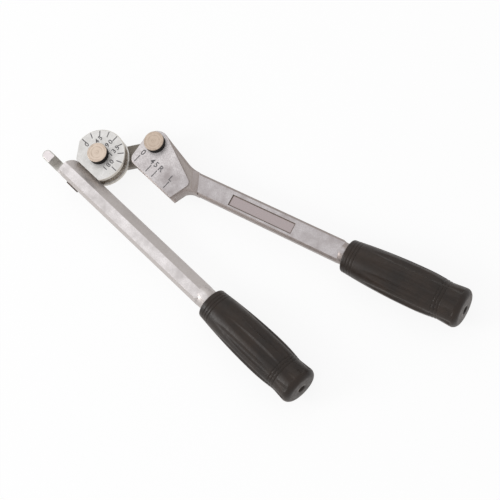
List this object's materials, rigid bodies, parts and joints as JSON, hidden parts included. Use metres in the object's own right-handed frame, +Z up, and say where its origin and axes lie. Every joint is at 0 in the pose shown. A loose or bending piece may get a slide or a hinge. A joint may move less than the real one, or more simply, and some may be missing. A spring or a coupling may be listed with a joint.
{
  "type": "lever tube bender",
  "caption": "Hand lever bender for 9.5 mm tube: grooved forming wheel with an angle scale, pivoting link, forged shoe handle, hinged tube clip and two rubber grips.",
  "frame": {"origin": "on the wheel pin's axis, at the flat end of its riveted tail, which is the surface that the tool stands on", "axes": "+Z up along both pivot pins; +X along the form handle towards its grip; +Y towards the bending handle's side"},
  "size_m": [0.375, 0.1698, 0.0357],
  "materials": {
    "forged_metal": "satin plated forging",
    "wheel_metal": "satin plated, fine grain",
    "link_metal": "dull plated",
    "pin_steel": "warm nickel plated",
    "washer_steel": "plain",
    "bush_bronze": "sintered bronze",
    "grip_rubber": "moulded, soft sheen"
  },
  "bodies": {
    "form_side": {"form_handle": "forged_metal", "forming_wheel": "wheel_metal", "wheel_dowels": "pin_steel", "wheel_pin": "pin_steel", "wheel_tail_washer": "washer_steel", "clip_pin": "pin_steel", "form_grip": "grip_rubber"},
    "link_arm": {"link": "link_metal", "wheel_bush": "bush_bronze", "shoe_bush": "bush_bronze", "wheel_thrust_washer": "washer_steel", "shoe_thrust_washer": "washer_steel"},
    "bending_side": {"bending_handle": "forged_metal", "shoe_pin": "pin_steel", "shoe_tail_washer": "washer_steel", "bending_grip": "grip_rubber"},
    "clip": {"tube_clip": "link_metal"}
  },
  "joints": [
    {"name": "wheel_pivot", "type": "hinge", "parent": "form_side", "child": "link_arm", "pos_m": [0, 0, 0.006], "axis": [0, 0, 1], "range_deg": [-6, 128]},
    {"name": "shoe_pivot", "type": "hinge", "parent": "link_arm", "child": "bending_side", "pos_m": [0.03131, 0.04051, 0.006], "axis": [0, 0, 1], "range_deg": [-12, 75]},
    {"name": "clip_pivot", "type": "hinge", "parent": "form_side", "child": "clip", "pos_m": [-0.002, -0.0308, 0.016], "axis": [0, -1, 0], "range_deg": [0, 90]}
  ]
}
